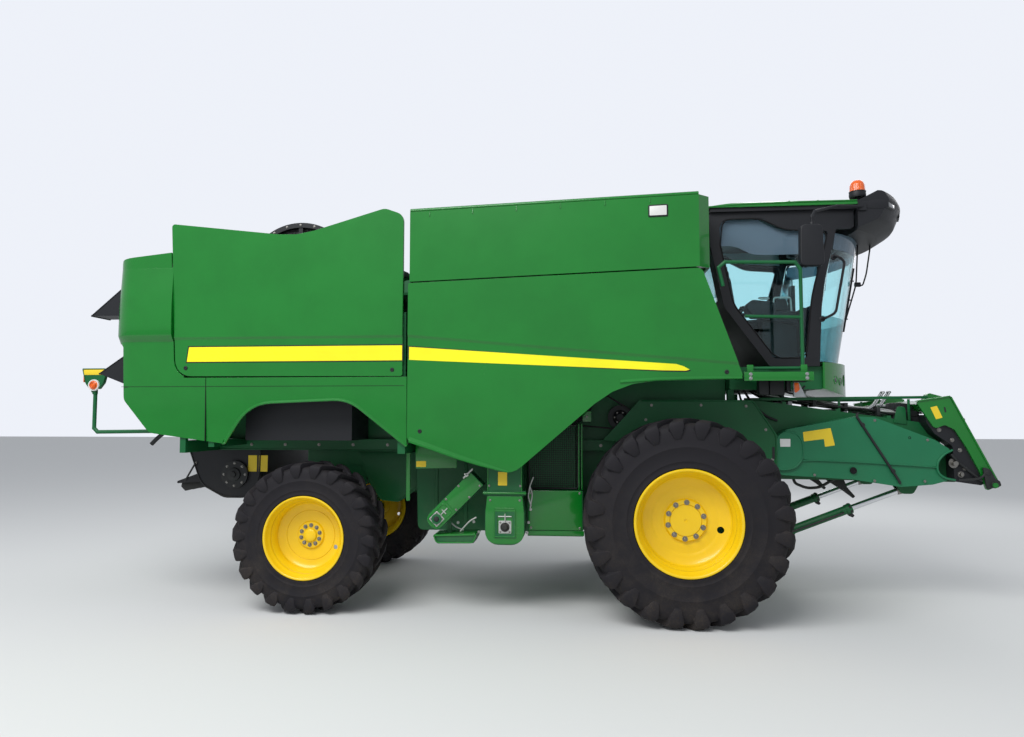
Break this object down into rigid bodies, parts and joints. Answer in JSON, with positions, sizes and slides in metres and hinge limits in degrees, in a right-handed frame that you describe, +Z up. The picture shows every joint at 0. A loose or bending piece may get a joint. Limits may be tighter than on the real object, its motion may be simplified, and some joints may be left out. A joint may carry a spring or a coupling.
{
  "type": "combine harvester without a header",
  "caption": "Self-propelled combine harvester with cab, grain tank, folding unloading auger, lifting feeder house, gull-wing side shields and rear-wheel steering.",
  "frame": {"origin": "on the ground under the middle of the whole machine's box", "axes": "+X forward, +Y to the machine's left, +Z up"},
  "size_m": [9.7148, 3.5138, 4.3491],
  "materials": {
    "body_paint": "gloss green paint",
    "frame_paint": "satin dark green paint",
    "feeder_plastic": "blue-green moulded plastic",
    "black_trim": "black plastic and powder coat",
    "rim_paint": "gloss yellow paint",
    "tyre": "black tyre rubber",
    "belt_rubber": "drive belt rubber",
    "machined_steel": "bare and zinc plated steel",
    "cylinder_chrome": "hard chrome",
    "engine_iron": "painted castings",
    "cab_glass": "tinted safety glass",
    "seat_fabric": "dark seat cloth",
    "lamp_amber": "amber lens"
  },
  "bodies": {
    "machine": {"main_frame": "frame_paint", "threshing_body": "frame_paint", "drive_belts": "belt_rubber", "front_axle": "frame_paint", "rear_axle": "frame_paint", "grain_tank": "body_paint", "tank_augers": "machined_steel", "engine_block": "engine_iron", "cooling_unit": "black_trim", "engine_deck": "frame_paint", "exhaust_pipe": "black_trim", "rear_hood": "body_paint", "quarter_panels": "body_paint", "straw_chopper": "black_trim", "clean_grain_elevator": "frame_paint", "tailings_elevator": "frame_paint", "service_box": "frame_paint", "cab_frame": "black_trim", "cab_roof": "body_paint", "roof_visor": "black_trim", "cab_nose": "body_paint", "cab_glass": "cab_glass", "operator_seat": "seat_fabric", "steering_console": "black_trim", "beacon": "lamp_amber", "mirrors": "black_trim", "side_platforms": "frame_paint", "marker_lamps": "frame_paint", "vent_hoods": "black_trim", "auger_elbow": "body_paint"},
    "right_front_wheel": {"front_tyre_right": "tyre", "front_rim_right": "rim_paint"},
    "left_front_wheel": {"front_tyre_left": "tyre", "front_rim_left": "rim_paint"},
    "right_steering_knuckle": {"knuckle_right": "frame_paint"},
    "left_steering_knuckle": {"knuckle_left": "frame_paint"},
    "right_rear_wheel": {"rear_tyre_right": "tyre", "rear_rim_right": "rim_paint"},
    "left_rear_wheel": {"rear_tyre_left": "tyre", "rear_rim_left": "rim_paint"},
    "steering_link": {"tie_rod": "frame_paint"},
    "feeder": {"feeder_house": "frame_paint", "feeder_shields": "feeder_plastic", "header_frame": "body_paint", "mouth_cheeks": "black_trim", "feed_chain": "machined_steel", "hydraulic_lines": "machined_steel"},
    "lift_barrel_pair": {"lift_barrels": "frame_paint"},
    "lift_rod_pair": {"lift_rods": "cylinder_chrome"},
    "unloading_auger": {"auger_tube": "body_paint", "auger_spout": "black_trim"},
    "door": {"cab_door": "black_trim", "door_glass": "cab_glass"},
    "ladder": {"access_ladder": "frame_paint"},
    "right_tank_cover": {"tank_cover_right": "body_paint"},
    "left_tank_cover": {"tank_cover_left": "body_paint"},
    "right_front_side_shield": {"front_shield_right": "body_paint"},
    "left_front_side_shield": {"front_shield_left": "body_paint"},
    "right_rear_side_shield": {"rear_shield_right": "body_paint"},
    "left_rear_side_shield": {"rear_shield_left": "body_paint"}
  },
  "joints": [
    {"name": "right_front_wheel_spin", "type": "hinge", "parent": "machine", "child": "right_front_wheel", "pos_m": [1.75, -1.43, 0.96], "axis": [0, 1, 0], "continuous": true},
    {"name": "left_front_wheel_spin", "type": "hinge", "parent": "machine", "child": "left_front_wheel", "pos_m": [1.75, 1.43, 0.96], "axis": [0, 1, 0], "continuous": true},
    {"name": "left_steering", "type": "hinge", "parent": "machine", "child": "left_steering_knuckle", "pos_m": [-1.95, 1.02, 0.74], "axis": [0, 0, 1], "range_deg": [-38, 38]},
    {"name": "right_steering", "type": "hinge", "parent": "machine", "child": "right_steering_knuckle", "pos_m": [-1.95, -1.02, 0.74], "axis": [0, 0, 1], "range_deg": [-38, 38]},
    {"name": "tie_rod_end", "type": "hinge", "parent": "left_steering_knuckle", "child": "steering_link", "pos_m": [-2.17, 1.02, 0.508], "axis": [0, 0, 1], "range_deg": [-38, 38]},
    {"name": "right_rear_wheel_spin", "type": "hinge", "parent": "right_steering_knuckle", "child": "right_rear_wheel", "pos_m": [-1.95, -1.27, 0.74], "axis": [0, 1, 0], "continuous": true},
    {"name": "left_rear_wheel_spin", "type": "hinge", "parent": "left_steering_knuckle", "child": "left_rear_wheel", "pos_m": [-1.95, 1.27, 0.74], "axis": [0, 1, 0], "continuous": true},
    {"name": "feeder_lift", "type": "hinge", "parent": "machine", "child": "feeder", "pos_m": [2.42, 0, 1.96], "axis": [0, 1, 0], "range_deg": [-1, 20]},
    {"name": "lift_barrel_swing", "type": "hinge", "parent": "machine", "child": "lift_barrel_pair", "pos_m": [2.3, 0, 0.492], "axis": [0, 1, 0], "range_deg": [-5, 20]},
    {"name": "lift_rod_slide", "type": "slide", "parent": "lift_barrel_pair", "child": "lift_rod_pair", "axis": [0.9322, 0, 0.362], "range_m": [-0.55, 0.1]},
    {"name": "auger_swing", "type": "hinge", "parent": "machine", "child": "unloading_auger", "pos_m": [1.43, 1.32, 3.29], "axis": [0, 0, -1], "range_deg": [0, 100]},
    {"name": "door_swing", "type": "hinge", "parent": "machine", "child": "door", "pos_m": [2.196, 0.962, 3.7], "axis": [0, 0, 1], "range_deg": [0, 75]},
    {"name": "ladder_swing", "type": "hinge", "parent": "machine", "child": "ladder", "pos_m": [2.8, 1.5, 1.5], "axis": [0, 0, -1], "range_deg": [0, 90]},
    {"name": "right_cover_lift", "type": "hinge", "parent": "machine", "child": "right_tank_cover", "pos_m": [-0.895, -1.536, 3.9693], "axis": [0.9994, 0, 0.0352], "range_deg": [0, 100]},
    {"name": "left_cover_lift", "type": "hinge", "parent": "machine", "child": "left_tank_cover", "pos_m": [-0.895, 1.096, 3.9693], "axis": [-0.9994, 0, -0.0352], "range_deg": [0, 100]},
    {"name": "right_front_shield_lift", "type": "hinge", "parent": "machine", "child": "right_front_side_shield", "pos_m": [-0.925, -1.54, 3.23234], "axis": [-0.9994, 0, -0.0352], "range_deg": [0, 65]},
    {"name": "left_front_shield_lift", "type": "hinge", "parent": "machine", "child": "left_front_side_shield", "pos_m": [-0.925, 1.54, 2.953], "axis": [1, 0, 0], "range_deg": [0, 65]},
    {"name": "right_rear_shield_swing", "type": "hinge", "parent": "machine", "child": "right_rear_side_shield", "pos_m": [-0.97, -1.54, 2.88], "axis": [0, 0, 1], "range_deg": [0, 75]},
    {"name": "left_rear_shield_swing", "type": "hinge", "parent": "machine", "child": "left_rear_side_shield", "pos_m": [-0.97, 1.54, 2.88], "axis": [0, 0, -1], "range_deg": [0, 75]}
  ],
  "couplings": [
    {"joint": "right_steering", "follows": "left_steering", "ratio": 1},
    {"joint": "tie_rod_end", "follows": "left_steering", "ratio": -1},
    {"joint": "lift_barrel_swing", "follows": "feeder_lift", "ratio": 0.71},
    {"joint": "lift_rod_slide", "follows": "feeder_lift", "m_per_rad": -1.39}
  ]
}
